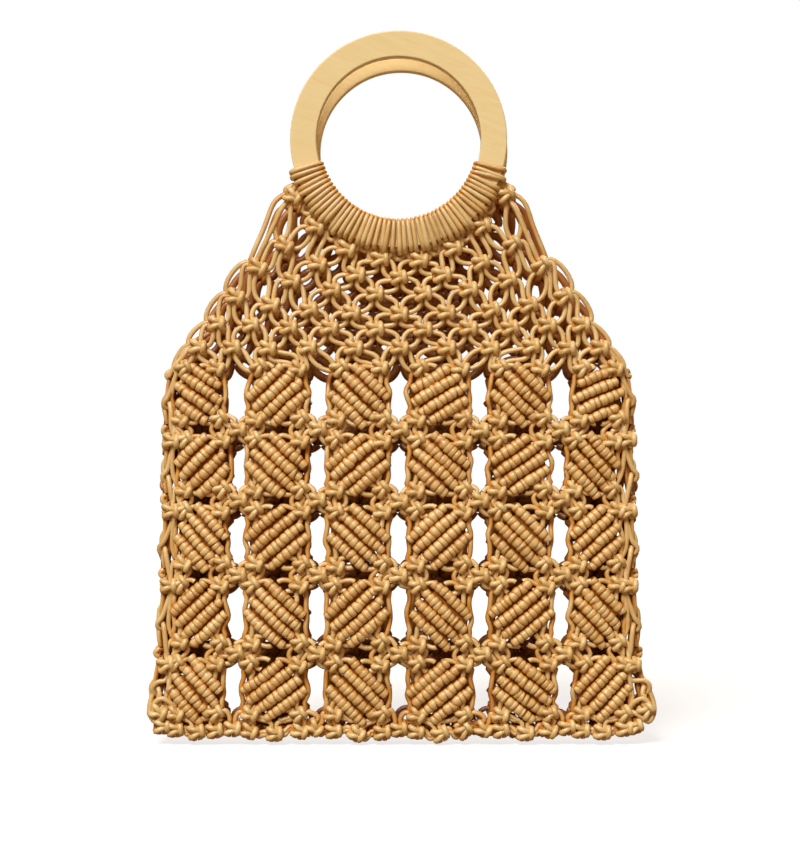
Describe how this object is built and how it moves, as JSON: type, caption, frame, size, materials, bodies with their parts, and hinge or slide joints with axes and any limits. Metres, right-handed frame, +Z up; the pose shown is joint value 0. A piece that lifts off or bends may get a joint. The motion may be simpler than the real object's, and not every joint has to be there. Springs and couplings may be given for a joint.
{
  "type": "knotted cord handbag with ring handles",
  "caption": "Hollow handbag of knotted cotton cord: diamond leaves and open ovals below a net yoke, hung from two flat wooden rings and laced at the sides and hem.",
  "frame": {"origin": "inside top of the front ring, midway between the two rings, where a hook or a hand carries the bag", "axes": "+Z up, -Y out of the front panel, +X to the right seen from the front"},
  "size_m": [0.354, 0.0532, 0.4917],
  "materials": {
    "pale_wood": "satin pale wood with a faint grain",
    "cotton_cord": "smooth twisted tan cotton cord"
  },
  "bodies": {
    "root": {"ring_handle_front": "pale_wood", "ring_handle_back": "pale_wood", "ring_wrap_front": "cotton_cord", "ring_wrap_back": "cotton_cord", "net_yoke_front": "cotton_cord", "net_yoke_back": "cotton_cord", "leaf_panel_front": "cotton_cord", "leaf_panel_back": "cotton_cord", "shoulder_cord_front_left": "cotton_cord", "shoulder_cord_front_right": "cotton_cord", "shoulder_cord_back_left": "cotton_cord", "shoulder_cord_back_right": "cotton_cord", "side_lacing_left": "cotton_cord", "side_lacing_right": "cotton_cord", "bottom_hem": "cotton_cord"}
  },
  "joints": []
}
